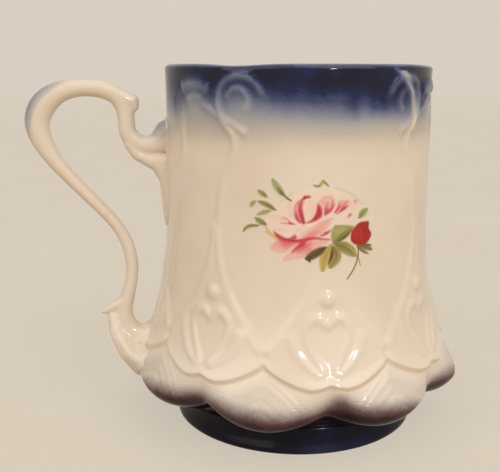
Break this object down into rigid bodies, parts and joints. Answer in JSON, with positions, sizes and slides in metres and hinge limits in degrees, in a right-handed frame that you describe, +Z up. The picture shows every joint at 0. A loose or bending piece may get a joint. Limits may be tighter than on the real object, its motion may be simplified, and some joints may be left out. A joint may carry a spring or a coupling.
{
  "type": "mustache cup",
  "caption": "Glazed porcelain mustache cup with a scroll handle, moulded petals round its base, a cobalt rim and foot, a rose spray, and a drinking ledge inside the rim.",
  "frame": {"origin": "centre of the foot ring on the plane that the cup stands on, on the cup's axis", "axes": "+Z up along the cup's axis, handle towards -X, rose spray facing -Y, drinking ledge at +Y"},
  "size_m": [0.1217, 0.0918, 0.102],
  "materials": {
    "porcelain": "clear gloss glaze over warm white porcelain",
    "cobalt_glaze": "deep cobalt under a clear gloss glaze",
    "slip": "fired slip",
    "pink_enamel": "fired transfer print",
    "red_enamel": "fired transfer print",
    "green_enamel": "fired transfer print"
  },
  "bodies": {
    "root": {"cup_body": "porcelain", "foot_ring": "cobalt_glaze", "foot_slip": "slip", "mustache_guard": "porcelain", "guard_slip": "slip", "handle": "porcelain", "handle_top_slip": "slip", "handle_root_slip": "slip", "rose_bloom": "pink_enamel", "rose_bud": "red_enamel", "rose_leaves": "green_enamel"}
  },
  "joints": []
}
